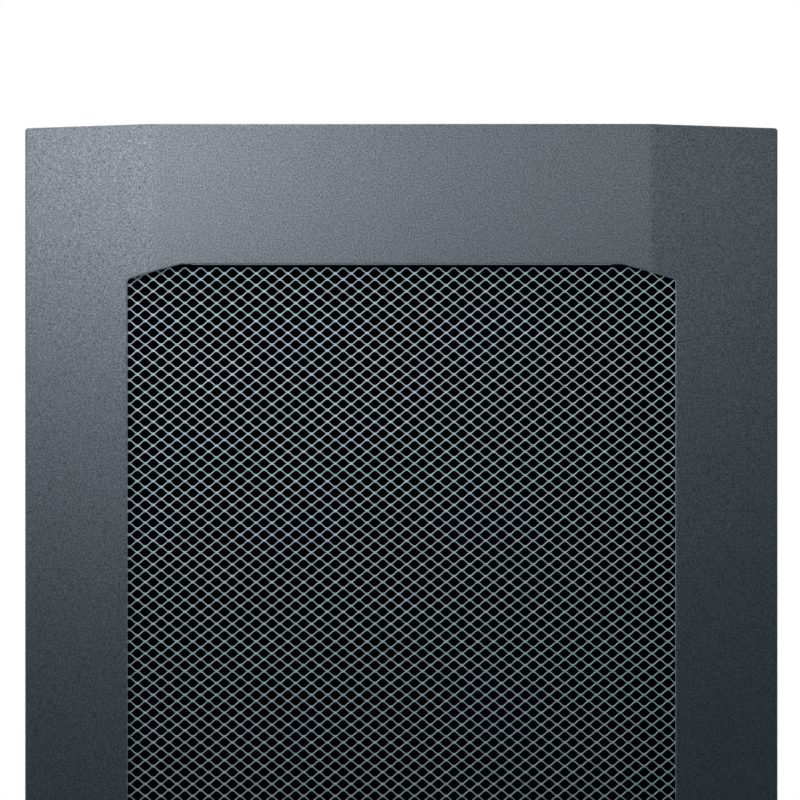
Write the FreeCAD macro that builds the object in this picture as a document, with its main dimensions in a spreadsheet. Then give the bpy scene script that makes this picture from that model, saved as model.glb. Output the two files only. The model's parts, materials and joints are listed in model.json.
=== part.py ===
import FreeCAD, Part
import math
import os
import re
import Sketcher

# Vented front door of an equipment rack: a folded sheet pan with a flat centre panel and two facets that
# sweep back to its sides, a flat expanded-metal mesh clamped behind its window, two lift-off hinges on the
# left rear lip and a cam lock in the right facet.
#
# Sizes are millimetres. Door coordinates: x = 0 on the door's centre line, y = 0 on the centre panel's front
# face and growing to the back, z = 0 at the door's foot. Each piece is placed from there into the part's
# frame, whose origin is the middle of the lower hinge's screw pattern, on the face that meets the rack.

SIZES = {
    # Folded pan
    "door_width": 610,
    "door_height": 1250,
    "panel_width": 398,
    "facet_recess": 25.5,
    "side_depth": 22,
    "sheet": 1.5,
    "fold_radius": 22,
    "bend_radius": 3,
    "edge_radius": 2.5,
    "lip_width": 18,
    "hinge_lip_width": 24,
    # Window in the pan
    "window_width": 439,
    "rail_height": 112,
    "corner_cut_width": 43.5,
    "corner_cut_height": 12,
    "corner_tight_radius": 3,
    "corner_soft_radius": 15,
    "seat_depth": 3.03,
    "seat_end_margin": 8,
    # Expanded-metal mesh
    "mesh_long_pitch": 12.7,
    "mesh_short_pitch": 9.525,
    "strand_width": 1.4,
    "strand_thickness": 1.2,
    "strand_gap": 0.15,
    "border_skin": 0.1,
    "border_reveal": 1,
    "border_overlap": 12.5,
    "strand_root": 4,
    "lattice_shift": -1.7,
    "lattice_drop": 5.9,
    # Strips that clamp the mesh
    "clamp_sheet": 1.5,
    "clamp_reveal": 2,
    "clamp_clearance": 1,
    "clamp_foot": 18,
    "clamp_wing": 14,
    "clamp_end_margin": 12,
    "rail_studs": 3,
    "stile_studs": 4,
    "stud_end_margin": 40,
    "stud_radius": 2.5,
    "stud_length": 10,
    "stud_clearance": 0.3,
    "nut_across": 8,
    "nut_height": 4,
    "nut_clearance": 0.1,
    # Lift-off hinges
    "hinge_inset": 6,
    "hinge_gap": 5.2,
    "hinge_end_height": 150,
    "hinge_height": 60,
    "knuckle_radius": 4.8,
    "knuckle_relief": 1.4,
    "leaf_thickness": 2,
    "door_leaf_width": 17,
    "rack_leaf_width": 35,
    "pin_radius": 2.5,
    "pin_end_gap": 2,
    "pin_press_clearance": 0.02,
    "running_clearance": 0.05,
    "thrust_gap": 1.2,
    "thrust_washer": 1,
    "screw_reach": 26,
    "screw_spacing": 36,
    "screw_hole_radius": 2.75,
    "rivet_reach": 11.6,
    "rivet_spacing": 36,
    "rivet_radius": 2,
    "rivet_head_radius": 3.4,
    "rivet_head_height": 1,
    "rivet_bulge_radius": 2.8,
    "rivet_bulge_height": 3,
    "rivet_clearance": 0.1,
    # Cam lock
    "lock_edge_distance": 32,
    "lock_head_radius": 13,
    "lock_head_height": 4,
    "lock_head_bevel": 1.2,
    "lock_barrel_radius": 9.5,
    "lock_barrel_length": 38,
    "lock_hole_clearance": 0.2,
    "lock_washer_radius": 12.8,
    "lock_washer_height": 1,
    "lock_nut_across": 23,
    "lock_nut_height": 5,
    "lock_relief": 0.5,
    "plug_radius": 6.5,
    "plug_head_radius": 8.5,
    "plug_head_height": 2,
    "key_slot_width": 1.6,
    "key_slot_length": 7.5,
    "key_slot_depth": 6,
    "drive_width": 7,
    "drive_clearance": 0.1,
    "cam_gap": 0.4,
    "cam_thickness": 2.5,
    "cam_reach": 36,
    "cam_hub_radius": 9,
    "cam_tip_width": 12,
    "cam_screw_radius": 2,
    "cam_screw_length": 8,
    "cam_screw_head_radius": 5,
    "cam_screw_head_height": 2.4,
    "cam_screw_clearance": 0.05,
    # Rubber bumpers on the latch-side lip
    "bumper_end_height": 120,
    "bumper_foot_radius": 7,
    "bumper_tip_radius": 5,
    "bumper_rack_gap": 0.4,
    # Earth bonding point
    "earth_side": 120,
    "earth_height": 40,
    "earth_stud_radius": 3,
    "earth_stud_length": 16,
    "earth_nut_across": 10,
    "earth_nut_height": 5,
    "earth_washer_radius": 6.5,
    "earth_washer_height": 1.2,
}

# Flats that stand for the round of small fasteners and of small rings, so that what repeats stays light
THREAD_FLATS = 6
RING_FLATS = 10
BARREL_FLATS = 24

# Measures worked out from those sizes, as formulas over their names
HALF_WIDTH = "(door_width / 2)"
HALF_PANEL = "(panel_width / 2)"
FACET_RUN = "((door_width - panel_width) / 2)"
FACET_SLOPE = f"(facet_recess / {FACET_RUN})"
FACET_COS = f"({FACET_RUN} / sqrt(facet_recess^2 + {FACET_RUN}^2))"
FACET_SIN = f"(facet_recess / sqrt(facet_recess^2 + {FACET_RUN}^2))"
HALF_TURN_TAN = f"({FACET_SIN} / (1 + {FACET_COS}))"
BACK = "(facet_recess + side_depth)"
WINDOW_HALF = "(window_width / 2)"
WINDOW_TOP = "(door_height - rail_height)"
MESH_THICKNESS = "(2 * strand_thickness + strand_gap + 2 * border_skin)"
# The mesh lies a seat's depth behind the inner face at the window's edge. Its border runs out to the facet.
EDGE_BACK = f"(({WINDOW_HALF} - {HALF_PANEL}) * {FACET_SLOPE} + sheet / {FACET_COS})"
MESH_FRONT = f"({EDGE_BACK} + seat_depth)"
MESH_BACK = f"({MESH_FRONT} + {MESH_THICKNESS})"
MESH_HALF = f"({WINDOW_HALF} + seat_depth / {FACET_SLOPE})"
HINGE_X = f"(hinge_inset - {HALF_WIDTH})"
HINGE_Y = f"({BACK} + hinge_gap)"
LOCK_X = f"({HALF_WIDTH} - lock_edge_distance)"
LOCK_Y = f"(({LOCK_X} - {HALF_PANEL}) * {FACET_SLOPE})"

# The frame's origin in door coordinates
ORIGIN = (f"{HINGE_X} + screw_reach", f"{HINGE_Y} + hinge_gap", "hinge_end_height")

doc = FreeCAD.newDocument("vented_rack_door")
sheet = doc.addObject("Spreadsheet::Sheet", "Sizes")
for row, (alias, number) in enumerate(SIZES.items(), start=1):
    sheet.set(f"A{row}", alias)
    sheet.set(f"B{row}", str(number))
    sheet.setAlias(f"B{row}", alias)
doc.recompute()

nodes = []


def cells(formula):
    """Write a formula over size names as an expression over the sheet's cells."""
    return re.sub(r"[a-z_]+", lambda word: f"Sizes.{word[0]}" if word[0] in SIZES else word[0], formula)


def amount(formula):
    """The number that a formula over size names comes to."""
    return float(sheet.evalExpression(cells(formula)))


def bind(feature, **formulas):
    """Tie properties of a feature to formulas over size names."""
    for name, formula in formulas.items():
        feature.setExpression(name, cells(formula))


def put(feature, x="0", y="0", z="0", turn=None):
    """Place a feature at formulas over size names, turned about its own origin."""
    if turn is not None:
        feature.Placement = FreeCAD.Placement(FreeCAD.Vector(), turn)
    for axis, formula in zip("xyz", (x, y, z)):
        feature.setExpression(f"Placement.Base.{axis}", cells(formula))


def node(feature, label, x="0", y="0", z="0", turn=None):
    """Name a finished piece and place it from door coordinates into the part's frame."""
    feature.Label = label
    put(feature, *(f"{at} - ({origin})" for at, origin in zip((x, y, z), ORIGIN)), turn)
    nodes.append(feature)


def body(name):
    return doc.addObject("PartDesign::Body", name)


def sketch_on(owner, plane, lift="0"):
    """Empty sketch on one of a body's own planes, lifted along that plane's normal."""
    sketch = owner.newObject("Sketcher::SketchObject", f"{owner.Name}_sketch")
    support = next(face for face in owner.Origin.OriginFeatures if face.Role == plane)
    sketch.AttachmentSupport = [(support, "")]
    sketch.MapMode = "FlatFace"
    sketch.setExpression("AttachmentOffset.Base.z", cells(lift))
    return sketch


def fix_point(sketch, element, corner, across, up):
    """Hold a sketch point at formulas measured from the sketch's origin."""
    for kind, formula in (("DistanceX", across), ("DistanceY", up)):
        held = sketch.addConstraint(Sketcher.Constraint(kind, -1, 1, element, corner, amount(formula)))
        sketch.setExpression(f"Constraints[{held}]", cells(formula))


def polygon(owner, plane, points, lift="0"):
    """Closed outline through corners that are given as pairs of formulas."""
    sketch = sketch_on(owner, plane, lift)
    corners = [FreeCAD.Vector(amount(across), amount(up), 0) for across, up in points]
    for start, end in zip(corners, corners[1:] + corners[:1]):
        sketch.addGeometry(Part.LineSegment(start, end), False)
    for index, (across, up) in enumerate(points):
        before = (index - 1) % len(points)
        sketch.addConstraint(Sketcher.Constraint("Coincident", before, 2, index, 1))
        fix_point(sketch, index, 1, across, up)
    return sketch


def circles(owner, plane, centres, radius, lift="0"):
    """Circles of one radius about centres that are given as pairs of formulas."""
    sketch = sketch_on(owner, plane, lift)
    for index, (across, up) in enumerate(centres):
        middle = FreeCAD.Vector(amount(across), amount(up), 0)
        sketch.addGeometry(Part.Circle(middle, FreeCAD.Vector(0, 0, 1), amount(radius)), False)
        fix_point(sketch, index, 3, across, up)
        held = sketch.addConstraint(Sketcher.Constraint("Radius", index, amount(radius)))
        sketch.setExpression(f"Constraints[{held}]", cells(radius))
    return sketch


def pad(owner, sketch, length, backwards=False, both_ways=False):
    feature = owner.newObject("PartDesign::Pad", f"{owner.Name}_pad")
    feature.Profile = sketch
    feature.Reversed = backwards
    feature.SideType = "Symmetric" if both_ways else "One side"
    bind(feature, Length=length)
    doc.recompute()
    return feature


def pocket(owner, sketch, depth=None, upward=False):
    """Cut a sketch into a body: to a depth against or along its normal, or right through both ways."""
    before = owner.Tip.Shape.Volume
    feature = owner.newObject("PartDesign::Pocket", f"{owner.Name}_pocket")
    feature.Profile = sketch
    feature.Reversed = upward
    if depth is None:
        feature.SideType = "Symmetric"
        feature.Type = "ThroughAll"
    else:
        bind(feature, Length=depth)
    doc.recompute()
    if not feature.Shape.Volume < before:
        raise RuntimeError(f"{owner.Name}: a pocket cut nothing")
    return feature


def turned(name, profile):
    """Body of revolution about its own z axis, from a half section of (radius, height) formulas."""
    owner = body(name)
    sketch = polygon(owner, "XZ_Plane", profile)
    feature = owner.newObject("PartDesign::Revolution", f"{name}_turn")
    feature.Profile = sketch
    feature.ReferenceAxis = (sketch, ["V_Axis"])
    feature.Angle = 360
    doc.recompute()
    return owner


def rounded(owner, radius, wanted):
    """Fillet the edges of a body's last feature that a test picks out."""
    base = owner.Tip
    picked = [f"Edge{i}" for i, edge in enumerate(base.Shape.Edges, start=1) if wanted(edge)]
    feature = owner.newObject("PartDesign::Fillet", f"{owner.Name}_round")
    feature.Base = (base, picked)
    bind(feature, Radius=radius)
    doc.recompute()
    return feature


def flats(count, radius, across="0", up="0"):
    """Corners of a regular outline that encloses a circle about a centre given by formulas."""
    reach = f"({radius}) / cos({180 / count})"
    turns = [(index + 0.5) * 360 / count for index in range(count)]
    return [(f"{across} + {reach} * cos({turn})", f"{up} + {reach} * sin({turn})") for turn in turns]


def bar(name, count, radius, length):
    """Bar of a few flats that stands on its own z = 0 plane, its corners on a radius."""
    owner = body(name)
    pad(owner, polygon(owner, "XY_Plane", flats(count, f"({radius}) * cos({180 / count})")), length)
    return owner


def ring(name, sides, radius, bore_sides, bore_radius, height, foot="0"):
    """Nut or washer: an outline and a bore of a few flats each, that lie round their radii."""
    owner = body(name)
    pad(owner, polygon(owner, "XY_Plane", flats(sides, radius), foot), height)
    pocket(owner, polygon(owner, "XY_Plane", flats(bore_sides, bore_radius), foot))
    return owner


def stud_hole(name, depth):
    """Tool for a clearance hole about a clamp stud."""
    return bar(name, THREAD_FLATS, "stud_radius + stud_clearance", depth)


def cylinder(name, radius, height):
    feature = doc.addObject("Part::Cylinder", name)
    bind(feature, Radius=radius, Height=height)
    return feature


def box(name, length, width, height):
    feature = doc.addObject("Part::Box", name)
    bind(feature, Length=length, Width=width, Height=height)
    return feature


def cut(name, base, tools):
    """Take tools away from a base, one after another."""
    for step, tool in enumerate(tools):
        feature = doc.addObject("Part::Cut", f"{name}_cut_{step}")
        feature.Base = base
        feature.Tool = tool
        base = feature
    return base


def group(name, pieces):
    feature = doc.addObject("Part::Compound", name)
    feature.Links = pieces
    return feature


def same(first, second):
    return abs(first - second) < 0.01


facet_angle = math.degrees(math.atan(amount(FACET_SLOPE)))
FACE_FRONT = FreeCAD.Rotation(FreeCAD.Vector(1, 0, 0), 90)
FACE_BACK = FreeCAD.Rotation(FreeCAD.Vector(1, 0, 0), -90)


def facet_turn(side, facing):
    """Turn that stands a piece square on a facet: side is -1 on the left, 1 on the right."""
    return FreeCAD.Rotation(FreeCAD.Vector(0, 0, 1), side * facet_angle) * facing


# Folded pan

def folded_prism(name, inset, foot, height, fold, bend, edge=None):
    """The pan's plan outline, drawn in by an inset and extruded, with its folds and front edges rounded."""
    owner = body(name)
    fold_x = f"({HALF_PANEL} - {inset} * {HALF_TURN_TAN})"
    side_x = f"({HALF_WIDTH} - {inset})"
    side_y = f"(({side_x} - {HALF_PANEL}) * {FACET_SLOPE} + {inset} / {FACET_COS})"
    back_y = f"({BACK} - {inset})"
    plan = [
        (f"-{side_x}", back_y), (f"-{side_x}", side_y), (f"-{fold_x}", inset),
        (fold_x, inset), (side_x, side_y), (side_x, back_y),
    ]
    pad(owner, polygon(owner, "XY_Plane", plan, foot), height)
    fold_at = amount(fold_x)
    side_at = amount(side_x)
    back_at = amount(back_y)
    ends = (amount(foot), amount(foot) + amount(height))

    def upright(found, at):
        room = found.BoundBox
        return room.ZLength > ends[1] / 2 and same(abs(room.Center.x), at) and room.Center.y < back_at - 0.01

    def at_an_end(found):
        room = found.BoundBox
        level = room.ZLength < 0.01 and any(same(room.Center.z, end) for end in ends)
        return level and room.Center.y < back_at - 0.01

    rounded(owner, fold, lambda found: upright(found, fold_at))
    rounded(owner, bend, lambda found: upright(found, side_at))
    if edge:
        rounded(owner, edge, at_an_end)
    return owner


def window_tool():
    """Solid of the window, with its four cut corners, that runs through the front of the pan."""
    owner = body("window")
    bevel_x = f"({WINDOW_HALF} - corner_cut_width)"
    low_side = "(rail_height + corner_cut_height)"
    high_side = f"({WINDOW_TOP} - corner_cut_height)"
    outline = [
        (f"-{WINDOW_HALF}", low_side), (f"-{bevel_x}", "rail_height"), (bevel_x, "rail_height"),
        (WINDOW_HALF, low_side), (WINDOW_HALF, high_side), (bevel_x, WINDOW_TOP),
        (f"-{bevel_x}", WINDOW_TOP), (f"-{WINDOW_HALF}", high_side),
    ]
    pad(owner, polygon(owner, "XZ_Plane", outline), f"2 * {BACK}", both_ways=True)

    def crosswise(found, at):
        return found.BoundBox.YLength > amount(BACK) and same(abs(found.BoundBox.Center.x), at)

    rounded(owner, "corner_tight_radius", lambda found: crosswise(found, amount(WINDOW_HALF)))
    rounded(owner, "corner_soft_radius", lambda found: crosswise(found, amount(bevel_x)))
    return owner


def rear_mouth():
    """Opening that leaves the rear lips standing round the back of the pan."""
    width = "door_width - hinge_lip_width - lip_width"
    tool = box("rear_mouth", width, "2 * bend_radius", "door_height - 2 * lip_width")
    put(tool, f"hinge_lip_width - {HALF_WIDTH}", f"{BACK} - bend_radius", "lip_width")
    return tool


def rivet_holes():
    """Tools for the holes in the hinge-side lip, in line with the hinge leaves' rivets."""
    holes = []
    for hinge_side, height in HINGE_HEIGHTS.items():
        for side in (-1, 1):
            radius = "rivet_radius + rivet_clearance"
            hole = bar(f"{hinge_side}_lip_hole", THREAD_FLATS, radius, "3 * sheet")
            level = f"{height} + {side} * rivet_spacing / 2"
            put(hole, f"{HINGE_X} + rivet_reach", f"{BACK} + sheet", level, FACE_FRONT)
            holes.append(hole)
    return holes


def mesh_seat(name, z):
    """Return along the window's straight edge that reaches back to the mesh."""
    half = f"({WINDOW_HALF} - corner_cut_width - seat_end_margin)"
    flange = box(name, f"2 * {half}", f"{MESH_FRONT} - sheet / 2", "sheet")
    put(flange, f"-{half}", "sheet / 2", z)
    return flange


def door_skin():
    outer = folded_prism("pan_outer", "0", "0", "door_height", "fold_radius", "bend_radius", "edge_radius")
    inner = folded_prism(
        "pan_inner", "sheet", "sheet", "door_height - 2 * sheet", "fold_radius - sheet", "bend_radius - sheet"
    )
    lock_hole = cylinder("lock_hole", "lock_barrel_radius + lock_hole_clearance", "8 * sheet")
    hole_x = f"{LOCK_X} - 4 * sheet * {FACET_SIN}"
    hole_y = f"{LOCK_Y} + 4 * sheet * {FACET_COS}"
    put(lock_hole, hole_x, hole_y, "door_height / 2", facet_turn(1, FACE_FRONT))
    pan = cut("pan", outer, [inner, rear_mouth(), window_tool(), lock_hole, *rivet_holes()])
    skin = doc.addObject("Part::MultiFuse", "skin")
    skin.Shapes = [pan, mesh_seat("seat_bottom", "rail_height - sheet"), mesh_seat("seat_top", WINDOW_TOP)]
    skin.Refine = True
    node(skin, "door_skin")


# Expanded-metal mesh

def window_limits(grow):
    """Half planes (nx, nz, reach) about the window's middle that hold the window, grown by a distance."""
    half_x = amount(WINDOW_HALF)
    half_z = amount("door_height / 2 - rail_height")
    cut_x = amount("corner_cut_width")
    cut_z = amount("corner_cut_height")
    slant = math.hypot(cut_x, cut_z)
    limits = []
    for side in (-1, 1):
        limits.append((side, 0, half_x + grow))
        limits.append((0, side, half_z + grow))
        for up in (-1, 1):
            nx = side * cut_z / slant
            nz = up * cut_x / slant
            reach = (half_x * cut_z + (half_z - cut_z) * cut_x) / slant
            limits.append((nx, nz, reach + grow))
    return limits


def clipped(point, heading, limits):
    """Stretch of a line inside a convex outline, as its two distances from a point, or None."""
    low = -math.inf
    high = math.inf
    for nx, nz, reach in limits:
        closing = nx * heading[0] + nz * heading[1]
        room = reach - nx * point[0] - nz * point[1]
        if abs(closing) < 1e-9:
            if room < 0:
                return None
        elif closing > 0:
            high = min(high, room / closing)
        else:
            low = max(low, room / closing)
    return (low, high) if high > low else None


def strand_family(slant, depth):
    """Parallel strands of one slant, from border to border, set back by a depth."""
    pitch_x = amount("mesh_long_pitch")
    pitch_z = amount("mesh_short_pitch")
    width = amount("strand_width")
    thickness = amount("strand_thickness")
    long_side = math.hypot(pitch_x, pitch_z)
    heading = (pitch_x / long_side, slant * pitch_z / long_side)
    start_x = amount("lattice_shift")
    start_z = amount("door_height / 2 - rail_height - lattice_drop")
    shown = window_limits(amount("border_reveal"))
    rooted = window_limits(amount("border_reveal + strand_root"))
    tilt = FreeCAD.Rotation(FreeCAD.Vector(0, 1, 0), -slant * math.degrees(math.atan2(pitch_z, pitch_x)))
    reach = math.ceil(amount("window_width / mesh_long_pitch + door_height / mesh_short_pitch"))
    strands = []
    for step in range(-reach, reach + 1):
        point = (start_x + step * pitch_x, start_z)
        if clipped(point, heading, shown) is None:
            continue
        low, high = clipped(point, heading, rooted)
        strand = Part.makeBox(high - low, thickness, width, FreeCAD.Vector(low, depth, -width / 2))
        strand.Placement = FreeCAD.Placement(FreeCAD.Vector(point[0], 0, point[1]), tilt)
        strands.append(strand)
    return strands


def mesh_border():
    """Flat frame round the mesh: a plate with the window's own outline, a little larger, cut out of it."""
    thickness = amount(MESH_THICKNESS)
    half_x = amount(MESH_HALF)
    half_z = amount("door_height / 2 - rail_height + border_overlap")
    plate = Part.makeBox(2 * half_x, thickness, 2 * half_z, FreeCAD.Vector(-half_x, 0, -half_z))
    grow = amount("border_reveal")
    side_x = amount(WINDOW_HALF) + grow
    side_z = amount("door_height / 2 - rail_height") + grow
    slant = math.hypot(amount("corner_cut_width"), amount("corner_cut_height"))
    reach = window_limits(grow)[2][2]
    nx = amount("corner_cut_height") / slant
    nz = amount("corner_cut_width") / slant
    low_z = (reach - nx * side_x) / nz
    low_x = (reach - nz * side_z) / nx
    quarter = [(side_x, low_z), (low_x, side_z)]
    mirrored = [(-x, z) for x, z in reversed(quarter)]
    ring = quarter + mirrored + [(-x, -z) for x, z in quarter] + [(-x, -z) for x, z in mirrored]
    corners = [FreeCAD.Vector(x, -thickness, z) for x, z in ring + ring[:1]]
    hole = Part.Face(Part.makePolygon(corners)).extrude(FreeCAD.Vector(0, 3 * thickness, 0))
    return plate.cut(hole)


def vent_mesh():
    front = amount("border_skin")
    back = amount("border_skin + strand_thickness + strand_gap")
    strands = strand_family(1, front) + strand_family(-1, back)
    mesh = doc.addObject("Part::Feature", "mesh")
    mesh.Shape = mesh_border().fuse(strands)
    node(mesh, "vent_mesh", "0", MESH_FRONT, "door_height / 2")


# Strips that clamp the mesh

def spread(count, low, high):
    """Evenly spaced formulas from one height or place to another."""
    steps = max(count - 1, 1)
    return [f"({low} + ({high} - {low}) * {index} / {steps})" for index in range(count)]


STILE_CLAMP_LENGTH = "(door_height - 2 * rail_height - 2 * corner_cut_height)"
RAIL_CLAMP_HALF = f"({HALF_PANEL} - fold_radius - clamp_end_margin)"
RAIL_CLAMP_STEP = "(border_overlap + clamp_clearance)"
BEND_X = f"({MESH_HALF} + {MESH_THICKNESS} / {FACET_SLOPE})"
STILE_STUD_X = f"({BEND_X} + clamp_wing / 2 * {FACET_COS})"
STILE_STUD_Y = f"({MESH_BACK} + clamp_wing / 2 * {FACET_SIN})"
RAIL_STUD_Z = f"({RAIL_CLAMP_STEP} + clamp_sheet + (clamp_foot - clamp_sheet) / 2)"


def stile_clamp(side, label):
    """Strip along one side of the window: flat behind the mesh, then bent on to the facet's back."""
    owner = body(f"{label}_strip")
    near_x = f"({WINDOW_HALF} + clamp_reveal)"
    far_x = f"({BEND_X} + clamp_wing * {FACET_COS})"
    far_y = f"({MESH_BACK} + clamp_wing * {FACET_SIN})"
    plan = [
        (near_x, MESH_BACK), (BEND_X, MESH_BACK), (far_x, far_y),
        (f"{far_x} - clamp_sheet * {FACET_SIN}", f"{far_y} + clamp_sheet * {FACET_COS}"),
        (f"{BEND_X} - clamp_sheet * {HALF_TURN_TAN}", f"{MESH_BACK} + clamp_sheet"),
        (near_x, f"{MESH_BACK} + clamp_sheet"),
    ]
    mirrored = [(f"{side} * ({across})", up) for across, up in plan]
    pad(owner, polygon(owner, "XY_Plane", mirrored, "rail_height + corner_cut_height"), STILE_CLAMP_LENGTH)
    holes = []
    for height in STILE_STUD_HEIGHTS:
        hole = stud_hole(f"{label}_hole", "4 * clamp_sheet")
        put(
            hole, f"{side} * ({STILE_STUD_X} + clamp_sheet * {FACET_SIN})",
            f"{STILE_STUD_Y} - clamp_sheet * {FACET_COS}", height, facet_turn(side, FACE_BACK),
        )
        holes.append(hole)
    if side > 0:
        holes.append(lock_relief())
    node(cut(f"{label}_drilled", owner, holes), label)


def lock_relief():
    """Tool that keeps the latch-side strip clear of the lock's washer and nut on a narrow stile."""
    radius = "max(lock_washer_radius; lock_nut_across / sqrt(3)) + lock_relief"
    tool = cylinder("lock_room", radius, "lock_barrel_length")
    put(tool, LOCK_X, LOCK_Y, "door_height / 2", facet_turn(1, FACE_BACK))
    return tool


def rail_clamp(label, edge, up):
    """Z-section strip along the window's top or bottom: behind the mesh, forward, then on to the panel."""
    owner = body(f"{label}_strip")
    step = RAIL_CLAMP_STEP
    section = [
        (MESH_BACK, "clamp_reveal"), (MESH_BACK, step), ("sheet", step), ("sheet", f"{step} + clamp_foot"),
        ("sheet + clamp_sheet", f"{step} + clamp_foot"), ("sheet + clamp_sheet", f"{step} + clamp_sheet"),
        (f"{MESH_BACK} + clamp_sheet", f"{step} + clamp_sheet"),
        (f"{MESH_BACK} + clamp_sheet", "clamp_reveal"),
    ]
    raised = [(depth, f"{edge} + {up} * ({height})") for depth, height in section]
    pad(owner, polygon(owner, "YZ_Plane", raised), f"2 * {RAIL_CLAMP_HALF}", both_ways=True)
    holes = []
    for place in RAIL_STUD_PLACES:
        hole = stud_hole(f"{label}_hole", "3 * clamp_sheet")
        put(hole, place, "sheet - clamp_sheet", f"{edge} + {up} * {RAIL_STUD_Z}", FACE_BACK)
        holes.append(hole)
    node(cut(f"{label}_drilled", owner, holes), label)


STILE_STUD_HEIGHTS = spread(
    round(amount("stile_studs")), "(rail_height + corner_cut_height + stud_end_margin)",
    "(door_height - rail_height - corner_cut_height - stud_end_margin)",
)
RAIL_STUD_PLACES = spread(
    round(amount("rail_studs")), f"(stud_end_margin - {RAIL_CLAMP_HALF})",
    f"({RAIL_CLAMP_HALF} - stud_end_margin)",
)
RAIL_EDGES = {"top": (WINDOW_TOP, 1), "bottom": ("rail_height", -1)}


def clamp_fasteners():
    """Weld studs on the pan's back, and the nuts that draw the strips down on them."""
    studs = []
    nuts = []

    def fasten(x, y, z, lean, turn):
        """One stud and nut, where lean is how far x and y move for each millimetre along the stud."""
        post = bar("clamp_stud", THREAD_FLATS, "stud_radius", "stud_length")
        put(post, x, y, z, turn)
        studs.append(post)
        bore = "stud_radius + nut_clearance"
        nut = ring("clamp_nut", 6, "nut_across / 2", THREAD_FLATS, bore, "nut_height")
        put(nut, f"{x} + clamp_sheet * {lean[0]}", f"{y} + clamp_sheet * {lean[1]}", z, turn)
        nuts.append(nut)

    for side in (-1, 1):
        for height in STILE_STUD_HEIGHTS:
            lean = (f"{-side} * {FACET_SIN}", FACET_COS)
            fasten(f"{side} * {STILE_STUD_X}", STILE_STUD_Y, height, lean, facet_turn(side, FACE_BACK))
    for edge, up in RAIL_EDGES.values():
        for place in RAIL_STUD_PLACES:
            fasten(place, "sheet", f"{edge} + {up} * {RAIL_STUD_Z}", ("0", "1"), FACE_BACK)
    node(group("stud_group", studs), "clamp_studs")
    node(group("nut_group", nuts), "clamp_nuts")


# Lift-off hinges, each about its own axis and mid-height

HINGE_HEIGHTS = {"lower": "hinge_end_height", "upper": "(door_height - hinge_end_height)"}
HALF_HINGE = "(hinge_height / 2)"
HALF_THRUST = "(thrust_gap / 2)"


def hinge_leaf(name, width, front, up, bore):
    """Leaf with its knuckle in the upper (up = 1) or lower half, cut back to clear the other knuckle."""
    owner = body(name)
    clear_x = "(knuckle_radius + knuckle_relief)"
    plate = [
        ("0", f"{up} * {HALF_THRUST}"), ("0", f"{up} * {HALF_HINGE}"), (width, f"{up} * {HALF_HINGE}"),
        (width, f"{-up} * {HALF_HINGE}"), (clear_x, f"{-up} * {HALF_HINGE}"),
        (clear_x, f"{up} * {HALF_THRUST}"),
    ]
    pad(owner, polygon(owner, "XZ_Plane", plate, f"-({front})"), "leaf_thickness", backwards=True)
    knuckle_foot = HALF_THRUST if up > 0 else f"-{HALF_HINGE}"
    knuckle = circles(owner, "XY_Plane", [("0", "0")], "knuckle_radius", knuckle_foot)
    pad(owner, knuckle, f"{HALF_HINGE} - {HALF_THRUST}")
    pocket(owner, circles(owner, "XY_Plane", [("0", "0")], bore))
    return owner


def hinge_pin(name):
    """Pin from the foot of the rack leaf's knuckle to just below the top of the door leaf's."""
    return turned(name, [
        ("0", f"-{HALF_HINGE}"), ("pin_radius", f"-{HALF_HINGE}"),
        ("pin_radius", f"{HALF_HINGE} - pin_end_gap"), ("0", f"{HALF_HINGE} - pin_end_gap"),
    ])


def hinge(name, height):
    """Door leaf over the pin and washer of a rack leaf, which has the holes for the rack's screws."""
    at = (HINGE_X, HINGE_Y, height)
    running = "pin_radius + running_clearance"
    door_leaf = hinge_leaf(f"{name}_door_leaf", "door_leaf_width", "-hinge_gap", 1, running)
    for side in (-1, 1):
        place = ("rivet_reach", f"{side} * rivet_spacing / 2")
        hole = flats(THREAD_FLATS, "rivet_radius + rivet_clearance", *place)
        pocket(door_leaf, polygon(door_leaf, "XZ_Plane", hole))
    node(door_leaf, f"{name}_hinge_door_leaf", *at)
    bore = "pin_radius + pin_press_clearance"
    rack_leaf = hinge_leaf(f"{name}_rack_leaf", "rack_leaf_width", "hinge_gap - leaf_thickness", -1, bore)
    screws = [("screw_reach", f"{side} * screw_spacing / 2") for side in (-1, 1)]
    pocket(rack_leaf, circles(rack_leaf, "XZ_Plane", screws, "screw_hole_radius"))
    node(rack_leaf, f"{name}_hinge_rack_leaf", *at)
    node(hinge_pin(f"{name}_pin"), f"{name}_hinge_pin", *at)
    rim = f"knuckle_radius * cos({180 / RING_FLATS})"
    washer = ring(f"{name}_washer", RING_FLATS, rim, RING_FLATS, bore, "thrust_washer", f"-{HALF_THRUST}")
    node(washer, f"{name}_hinge_washer", *at)


def hinge_rivets():
    """Blind rivets: head on the leaf, shank through leaf and lip, bulge inside the pan."""
    grip = "(leaf_thickness + sheet)"
    inside = f"-({grip} + rivet_bulge_height)"
    steps = [
        ("rivet_head_radius", "0", "rivet_head_height"), ("rivet_radius", f"-{grip}", grip),
        ("rivet_bulge_radius", inside, "rivet_bulge_height"),
    ]
    rivets = []
    for height in HINGE_HEIGHTS.values():
        for side in (-1, 1):
            rivet = body("rivet")
            for radius, foot, length in steps:
                outline = flats(THREAD_FLATS, f"{radius} * cos({180 / THREAD_FLATS})")
                pad(rivet, polygon(rivet, "XY_Plane", outline, foot), length)
            level = f"{height} + {side} * rivet_spacing / 2"
            put(rivet, f"{HINGE_X} + rivet_reach", f"{BACK} + leaf_thickness", level, FACE_BACK)
            rivets.append(rivet)
    node(group("rivet_group", rivets), "hinge_rivets")


# Cam lock, each piece about the lock's axis: z = 0 on the facet's front face, z growing outward

PLUG_END = "(lock_barrel_length + cam_gap + cam_thickness)"


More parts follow.
